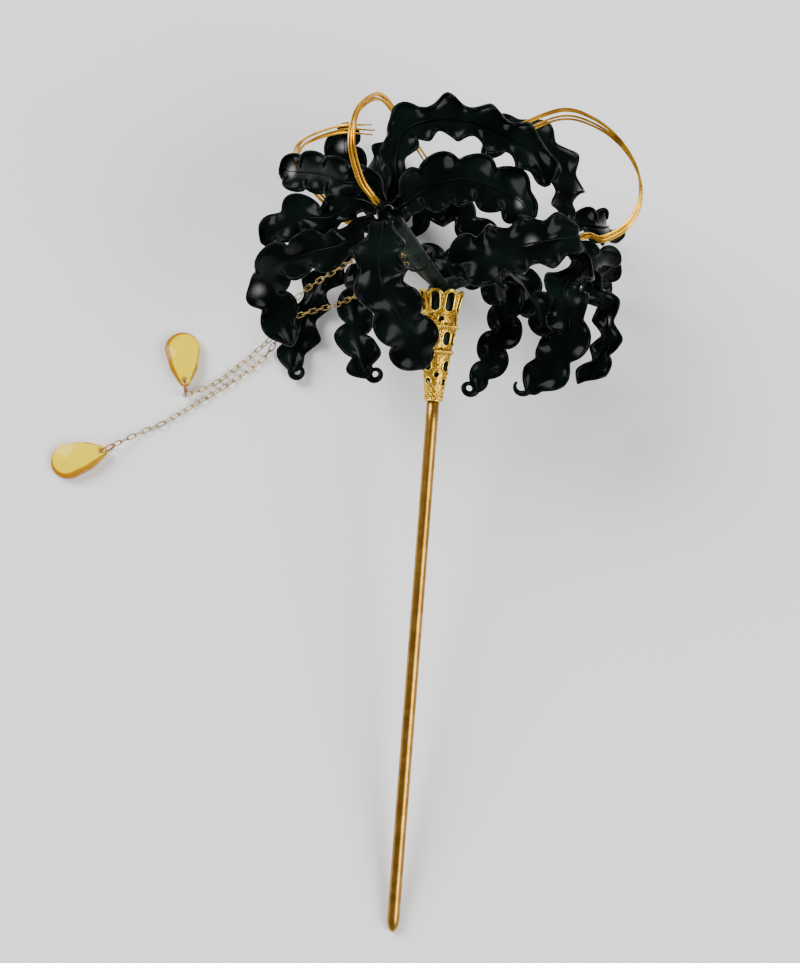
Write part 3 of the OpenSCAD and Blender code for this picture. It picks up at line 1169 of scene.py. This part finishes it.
def petals() -> list[Petal]:
    """Petals of the three florets.

    They follow the lines of the solids. A few end a little sooner or are a little narrower.

    Returns:
        Six petals of each floret.
    """
    front, right, back = Floret.FRONT, Floret.RIGHT, Floret.BACK
    return [
        Petal(front, 1, 179, 7.4, -20, -15, 0, 0.9, [(-27, -22, 11.5), (-35, -18, 11), (-42.5, -13, 6)],
              corners=[(0.67, -1, 1.6, 5)]),
        Petal(front, 2, 120, 8, 10, 15, 60, 0.9, [(-24, -20, 20), (-31, -12, 23), (-40.5, 0, 24.5)],
              clear=[(0.89, 0, 3.4, 0.6)]),
        Petal(front, 3, 70, 9, 40, 95, 120, 0.6,
              [(-13, -23, 26), (-11.5, -19, 33), (-5, -17, 36.5), (4, -17, 36.5), (12, -16, 34),
               (18.5, -15, 30.5), (22.5, -11, 24.5)], edge=Edge.SPIKED,
              corners=[(0.36, 1, 1.2, 2.5), (0.5, 1, 1, 3)]),
        Petal(front, 4, 2, 12, 38, 65, 180, 0.5,
              [(-5, -23, 20), (2, -19, 23), (10, -14, 22.5), (16, -10, 20.5), (20, -7, 17)],
              clear=[(0.89, 0, 2.6, 0.5)]),
        Petal(front, 5, 300, 11.5, -35, -20, 210, 0.5,
              [(-14.5, -36, -1), (-12, -38, -7), (-8, -35, -13), (-3, -28, -21)], cup=0.0),
        Petal(front, 6, 237, 9, -25, -100, 300, 0.6,
              [(-23, -28, 5), (-32, -24, 2.5), (-39.5, -18, -1), (-38.5, -12, -8), (-34.5, -8, -17)],
              corners=[(0.75, -1, 1.1, 3)], clear=[(0.72, -1, 2.6, 0.4)]),
        Petal(right, 1, 180, 12, -8, -3, 0, 0.5, [(18, -12, 10), (9, -17, 6), (1, -14, 4)],
              clear=[(0.44, 0, 3.2, 0.5), (0.3, 0, 2.4, 0.35)]),
        Petal(right, 2, 115, 8, 85, 55, 60, 0.9,
              [(27.5, 0, 24), (27.5, 4, 30), (23.5, 7, 36), (16, 8, 40.5), (10.5, 8, 38), (8, 8, 33)]),
        Petal(right, 3, 45, 7.5, -45, -55, 120, 1, [(38, 12, 19), (41, 24, 21), (39, 37, 20)]),
        Petal(right, 4, 243, 9.5, 75, 90, 180, 0.7,
              [(28.5, -9, 1), (30, -10, -6), (29.5, -8, -12), (25.5, -6, -19), (22, -5, -23.5)],
              Tip.HOOK, 180, corners=[(0.81, -1, 0.8, 3)]),
        Petal(right, 5, 290, 6, 80, 120, 240, 1,
              [(36, 3, 3.5), (40, 8, -1), (41.4, 12, -8), (40.4, 16, -13), (36, 20, -19)],
              edge=Edge.SPIKED, corners=[(0.8, 1, 1.2, 3)], clear=[(0.53, 0.6, 2.2, 0.45)]),
        Petal(right, 6, 342, 8, 30, 120, 300, 1, [(38, 12, 10), (40, 24, 9), (38.5, 33.8, 3)],
              corners=[(0.41, 1, 0.6, 3)]),
        Petal(back, 1, 282, 7.5, 35, 60, 0, 0.9,
              [(-20.5, 20, -1), (-20.5, 17, -8), (-19, 14, -15), (-16, 11, -22)],
              Tip.CURL, 180, corners=[(0.72, 1, 1.1, 3), (0.87, -1, 0.8, 2.5), (0.93, 1, 1.2, 2.5)]),
        Petal(back, 2, 236, 7.5, 5, -45, 60, 1,
              [(-1, 22, 9), (11.5, 14, 4.5), (16, 10, -2), (15.5, 6, -9), (13, 3, -16), (10, 0, -24)],
              Tip.CURL, 0),
        Petal(back, 3, 60, 8, -12, -45, 120, 1, [(-22, 22, 25), (-26, 16, 32), (-26.5, 11, 39)],
              clear=[(0.81, 0, 2.8, 0.55)]),
        Petal(back, 4, 120, 8, -75, -65, 180, 1, [(-15, 31.5, 26), (-17.5, 36.5, 33), (-17, 39.5, 40.1)],
              cup=0.0),
        Petal(back, 5, 180, 7.5, -42, -57, 240, 1,
              [(-4, 24, 21), (3, 24, 21.5), (10, 23, 15), (16, 20, 8), (22, 14, 1), (27, 5, -9)]),
        Petal(back, 6, 356, 8.5, 25, 5, 300, 0.8,
              [(-26, 28, 8.5), (-31.5, 29, -1), (-34, 28.5, -11), (-36, 27, -21)], Tip.CURL, 180,
              edge=Edge.SPIKED, corners=[(0.95, 1, 1.6, 3)]),
    ]


@dataclass
class Stamens:
    """Bundle of arching gold wires, bound at the foot.

    The fan is how far the first and the last wire are apart at the tips.
    """

    floret: Floret
    wires: int
    fan: tuple[float, float, float]
    route: Rows
    wire_r: float = 0.275
    hub_r: float = 1.1
    hub_l: float = 2.4
    turns: int = 6
    thread_r: float = 0.2

    def build(self, gold: Material, dark: Material) -> None:
        """Makes the wires and the binding, which is near black as painted shade at the foot.

        Args:
            gold: material of the wires.
            dark: near-black material of the binding, painted shade.
        """
        axes = Axes.of(self.floret)
        foot = axes.throat + (THROAT_R + GAP) * axes.axis
        bm = bmesh.new()
        line = vectors(self.route)
        for i in range(self.wires):
            w = 360 * i / self.wires
            at = foot + 0.5 * axes.axis + 0.55 * turned(w, axes.side, axes.up)
            way = [at, at + (self.hub_l + 2) * axes.axis]
            for k, place in enumerate(line, 1):
                fan = Vector(self.fan) * ((i / (self.wires - 1) - 0.5) * (k / len(line)) ** 4)
                way.append(place + fan + 0.7 * axes.outward(w))
            tube(bm, even(way, 130), lambda s: self.wire_r * (1 - 0.35 * smooth((s - 0.9) * 10)), 10)
        # The binding coil and its hub are near black: painted shade at the wires' foot deep in the
        # throat.
        coil = []
        steps = 16 * self.turns
        for k in range(steps + 1):
            high = 0.15 + (self.hub_l - 0.3) * k / steps
            out = turned(22.5 * k, axes.side, axes.up)
            coil.append(foot + high * axes.axis + (self.hub_r - self.thread_r) * out)
        tube(bm, coil, lambda s: self.thread_r, 6, mat=1)
        tube(bm, [foot, foot + self.hub_l * axes.axis], lambda s: self.hub_r - 0.25, 16, mat=1)
        name = self.floret.value
        piece(f"gold_{name}_stamens", bm, PIN, [gold, dark], f"{name}_stamens")


def stamens() -> list[Stamens]:
    """The three bundles, within a fraction of a millimetre of the lines of the solids.

    Returns:
        One bundle of each floret.
    """
    return [
        Stamens(Floret.FRONT, 5, (5, 0, -3),
                [(-20.5, -29.5, 20), (-23, -30, 28), (-22, -26, 36), (-17.5, -18, 40.5),
                 (-12, -9, 36), (-7, -3, 30)]),
        Stamens(Floret.RIGHT, 5, (-2, 0, -3),
                [(37, -3, 14), (42, -5, 17), (44.85, -5, 23), (43.9, -5, 30), (39.5, -5, 36.5),
                 (33, -5, 41), (25, -5, 42.5), (14, -5, 37.5)]),
        Stamens(Floret.BACK, 4, (1, 0, -1.5),
                [(-24, 33, 18), (-36, 24, 27), (-37, 8, 32), (-28, 0, 35.5), (-19.5, -2, 36)]),
    ]


# Chains and drops, placed from the point of the ground below the cap's mouth


class Chain(Enum):
    """The two chains."""

    SHORT = "short"
    LONG = "long"


LINK_L = 2.75
LINK_W = 1.4
LINK_WIRE = 0.28
RING_D = 4.4
RING_WIRE = 0.5
DROP_L = 14.5
DROP_W = 8.8
DROP_T = 3.0
DROP_FLANK_R = 0.4 * DROP_W
DROP_TIP_R = 1.5
DROP_REACH = DROP_L - DROP_W / 2 - DROP_TIP_R
DROP_TILT = math.radians(6)
DROP_ROUNDS = ((0.0, DROP_W / 2), (DROP_REACH / 2, DROP_FLANK_R), (DROP_REACH, DROP_TIP_R))
DOME_R = 27.0
CHAIN_RING_D = 7.6
CHAIN_RING_AT = 12.0
LIE_H = 0.85
HOLD = (LINK_L - LINK_WIRE) / 2 - (RING_WIRE + LINK_WIRE) / 2 - 0.2
PITCH = LINK_L - 2 * LINK_WIRE - GAP
RING_H = (DOME_R + (DROP_REACH - (DROP_L - DROP_W) / 2) * math.sin(DROP_TILT)
          - (DOME_R - DROP_T / 2) * math.cos(DROP_TILT))
STEM_WAY = (LAID.to_3x3() @ Axes.of(Floret.FRONT).axis).normalized()
CHAIN_RING_PLACE = LAID.to_3x3() @ (CHAIN_RING_AT * Axes.of(Floret.FRONT).axis) + Vector((0, 0, MOUTH_H))


def hoop(bm: Mesh, at: Vector, a: Vector, b: Vector, d: float, steps: int = 48) -> None:
    """Ring of wire.

    Args:
        bm: mesh that gets the ring.
        at: its middle.
        a: direction in its plane.
        b: the other direction in its plane.
        d: outer diameter.
        steps: steps round.
    """
    line = [at + (d - RING_WIRE) / 2 * turned(360 * k / steps, a, b) for k in range(steps)]
    tube(bm, line, lambda s: RING_WIRE / 2, 12, closed=True, first=a.cross(b))


@dataclass
class LinkChain:
    """Chain of oblong links, its jump ring and its drop.

    It leaves the stem at its lean, an angle round the stem. Its end lies at its heading from the
    jump ring, which stands in its ring_heading, and the drop lies at its drop_heading from its hole.
    """

    chain: Chain
    lean: float
    ring_at: tuple[float, float]
    ring_heading: float
    heading: float
    drop_heading: float
    route: Rows
    rise_l: float = 7.0
    slack: float = 0.13
    sharp: float = 0.9
    rim_round: float = 0.28

    def ring_place(self) -> Vector:
        """Middle of the jump ring."""
        return Vector((*self.ring_at, RING_H))

    def link(self) -> Mesh:
        """Makes a link.

        Returns:
            The link, with its length along x.
        """
        places = oblong((LINK_W - LINK_WIRE) / 2, (LINK_L - LINK_W) / 2)
        part = bmesh.new()
        line = [Vector((y, -x, 0)) for x, y in places]
        tube(part, line, lambda s: LINK_WIRE / 2, 6, closed=True, first=Vector((0, 0, 1)))
        return part

    def build(self, gold: Material) -> None:
        """Lays the links along the route.

        Args:
            gold: material of the links.
        """
        left = (Vector((-1, 0, 0)) + STEM_WAY.x * STEM_WAY).normalized()
        out = turned(self.lean, left, STEM_WAY.cross(left))
        first = CHAIN_RING_PLACE + ((CHAIN_RING_D - RING_WIRE) / 2 + HOLD) * out
        away = level(self.heading)
        last = self.ring_place() + (RING_D - RING_WIRE) / 2 * level(self.ring_heading) + HOLD * away
        rise = last + self.rise_l * away + Vector((0, 0, LIE_H - RING_H))
        way = [first, first + 2 * out] + vectors(self.route) + [rise, last]
        links = 2 * math.ceil(length_of(even(way, 300)) / PITCH / 2)
        spots = even(way, links)
        ways = tangents(spots)
        sides = carried(ways, STEM_WAY)
        end = Vector((0, 0, 1)).cross(ways[-1])
        twist = math.atan2(sides[-1].cross(end).dot(ways[-1]), sides[-1].dot(end))
        bm = bmesh.new()
        for k in range(links + 1):
            part = self.link()
            angle = (90 if k % 2 else 0) + math.degrees(twist) * k / links
            side = turned(angle, sides[k], ways[k].cross(sides[k]))
            axes = Matrix((ways[k], side, ways[k].cross(side))).transposed().to_4x4()
            bmesh.ops.transform(part, matrix=Matrix.Translation(spots[k]) @ axes, verts=part.verts)
            append(bm, part)
        name = self.chain.value
        piece(f"gold_{name}_chain", bm, ON_GROUND, [gold], f"chain_{name}")

    def build_ring(self, gold: Material) -> None:
        """Makes the jump ring.

        Args:
            gold: its material.
        """
        bm = bmesh.new()
        hoop(bm, self.ring_place(), level(self.ring_heading), Vector((0, 0, 1)), RING_D)
        name = self.chain.value
        piece(f"gold_{name}_ring", bm, ON_GROUND, [gold], f"ring_{name}")

    def build_drop(self, amber: Material) -> None:
        """Takes the domed and drilled drop, rounds its rims and marks how near they are, for painted
        shade at its outline.

        Args:
            amber: its material.
        """
        name = self.chain.value
        hole_at = self.ring_place() - ((RING_D - RING_WIRE) / 2 - self.slack) * level(self.ring_heading)
        heading = Matrix.Rotation(math.radians(self.drop_heading + 180), 4, "Z")
        tilt = Matrix.Rotation(-DROP_TILT, 4, "Y")
        place = Matrix.Translation(hole_at) @ heading @ tilt @ Matrix.Translation((-DROP_REACH, 0, 0))
        placed = ON_GROUND @ place
        bm = bmesh.new()
        bm.from_mesh(bpy.data.objects[f"drop_{name}"].data)
        bmesh.ops.transform(bm, matrix=placed.inverted(), verts=bm.verts)
        bmesh.ops.remove_doubles(bm, verts=bm.verts, dist=1e-3)
        bmesh.ops.dissolve_limit(bm, angle_limit=math.radians(1), verts=bm.verts, edges=bm.edges)
        rims = [e for e in bm.edges if len(e.link_faces) == 2 and e.calc_face_angle() > self.sharp]
        bmesh.ops.bevel(bm, geom=rims, offset=self.rim_round, offset_type="OFFSET", affect="EDGES",
                        segments=3, profile=0.5, material=-1)
        bmesh.ops.triangulate(bm, faces=bm.faces)
        bmesh.ops.subdivide_edges(bm, edges=bm.edges, cuts=2, use_grid_fill=True)
        # Painted shade: the mark rises toward the outline and reaches further in on the drop's -y side.
        edge = bm.verts.layers.float.new("edge")
        for v in bm.verts:
            middle = min(max(v.co.x, 0.0), DROP_REACH)
            half = between(DROP_ROUNDS, middle)
            share = math.hypot(v.co.x - middle, v.co.y) / half
            v[edge] = smooth((share - 0.78 - 0.16 * v.co.y / half) / 0.12)
        for face in bm.faces:
            face.smooth = True
        piece(f"amber_{name}_drop", bm, placed, [amber], f"drop_{name}")


def chains() -> list[LinkChain]:
    """The two chains, with the same lines as the solids.

    Returns:
        The short and the long chain.
    """
    return [
        LinkChain(Chain.SHORT, -24, (-62.1, -21.6), -81, 30, 100,
                  [(-12.6, 5.3, 37.4), (-16, 5.8, 33.4), (-22, 6.5, 27.5), (-28, 4.2, 22),
                   (-34, 1.2, 16.5), (-37.2, -2, 11.5), (-39.3, -5, 7.5), (-42, -8, 4),
                   (-44.6, -10, 1.8), (-47.4, -12.7, LIE_H)]),
        LinkChain(Chain.LONG, 10, (-79.8, -38.7), 33, 33, 200,
                  [(-14.2, 0.6, 35.5), (-18.8, -0.2, 25.5), (-24.5, -1, 17), (-30, -1.5, 12),
                   (-35.5, -2.6, 8), (-38.6, -4.6, 5), (-41.2, -9.2, 2.2), (-44.9, -13.8, LIE_H),
                   (-54.2, -21.6, LIE_H), (-61, -26.6, LIE_H), (-67.4, -31.2, LIE_H)]),
    ]


def chain_ring(gold: Material) -> None:
    """Ring round the front stem that carries both chains.

    Args:
        gold: its material.
    """
    a = STEM_WAY.cross(Vector((0, 1, 0))).normalized()
    b = (Vector((0, 1, 0)) - STEM_WAY.y * STEM_WAY).normalized()
    bm = bmesh.new()
    hoop(bm, CHAIN_RING_PLACE, a, b, CHAIN_RING_D, 64)
    piece("gold_chain_ring", bm, ON_GROUND, [gold], "chain_ring")


# Studio


@dataclass
class Studio:
    """Pale floor, soft lights and the camera of the picture."""

    far: float = 450.0
    aim: tuple[float, float, float] = (-6.4, 0.0, -46.9)
    right: tuple[float, float, float] = (0.997, 0.0, 0.0768)
    scale: float = 4.2
    picture: tuple[int, int] = (800, 963)
    floor: FloorFinish = FloorFinish("pale_floor")

    def camera(self) -> None:
        """Places the camera over the lying piece."""
        data = bpy.data.cameras.new("camera")
        data.lens = data.sensor_width * self.far / (max(self.picture) / self.scale)
        data.clip_start = 0.01
        data.clip_end = 10.0
        x = Vector(self.right).normalized()
        z = Vector((0, -1, 0))
        turn = LAID.to_3x3() @ Matrix((x, z.cross(x), z)).transposed()
        at = PIN @ (Vector(self.aim) + self.far * z)
        obj = add("camera", data)
        obj.matrix_world = Matrix.Translation(at) @ turn.to_4x4()
        bpy.context.scene.camera = obj

    def ground(self) -> None:
        """Lays the floor."""
        bm = bmesh.new()
        bmesh.ops.create_grid(bm, x_segments=2, y_segments=2, size=3.0)
        mesh = baked("floor", bm)
        mesh.materials.append(self.floor.material())
        add("floor", mesh)

    def light(self, name: str, at: tuple[float, float, float], size: float, watts: float) -> None:
        """Adds a soft box aimed at the piece.

        Args:
            name: its name.
            at: its place in metres.
            size: its width.
            watts: its power.
        """
        data = bpy.data.lights.new(name, "AREA")
        data.energy = watts
        data.size = size
        way = Vector(at) - Vector((0, 0, 0.03))
        turn = way.to_track_quat("Z", "Y").to_matrix()
        add(name, data).matrix_world = Matrix.Translation(at) @ turn.to_4x4()

    def sky(self, strength: float) -> None:
        """Even light from all round.

        Args:
            strength: how strong it is.
        """
        world = bpy.data.worlds.new("studio")
        world.use_nodes = True
        inputs = world.node_tree.nodes["Background"].inputs
        inputs["Color"].default_value = (1, 1, 1, 1)
        inputs["Strength"].default_value = strength
        bpy.context.scene.world = world

    def build(self) -> None:
        """Sets the stage."""
        self.camera()
        self.ground()
        self.sky(0.35)
        self.light("key", (-1.05, 0.75, 1.1), 1.0, 38.0)
        self.light("fill", (1.15, -0.45, 1.1), 1.0, 30.0)


def main() -> None:
    """Builds the piece and its studio."""
    logging.basicConfig(level=logging.INFO, format="%(message)s")
    Studio().build()
    film = ResinFinish("resin_film").material()
    rim = ResinFinish("resin_rim", film=False).material()
    wire = GoldFinish("wire_gold", deep=(0.45, 0.20, 0.012), bright=(0.90, 0.50, 0.03),
                      roughness=0.22).material()
    # Near-black metal, painted shade: on the stamens' binding in the throats and on the chain ring among
    # the stems.
    dark = GoldFinish("shade_black_wire", deep=(0.006, 0.008, 0.006), bright=(0.02, 0.022, 0.016),
                      roughness=0.35).material()
    links = GoldFinish("chain_gold", deep=(0.21, 0.14, 0.045), bright=(0.55, 0.39, 0.14),
                       roughness=0.26).material()
    rose = GoldFinish("rose_gold", deep=(0.20, 0.075, 0.035), bright=(0.50, 0.22, 0.12)).material()
    amber = AmberFinish("clear_amber").material()
    Stick().build()
    Cap().build()
    Stems().build()
    for floret in Floret:
        Calyx(floret, rim).build()
    for petal in petals():
        petal.build(film, rim)
    for bundle in stamens():
        bundle.build(wire, dark)
    # The chain ring gets the near-black metal as painted shade.
    chain_ring(dark)
    for chain in chains():
        chain.build(links)
        chain.build_ring(rose)
        chain.build_drop(amber)


if __name__ == "__main__":
    main()
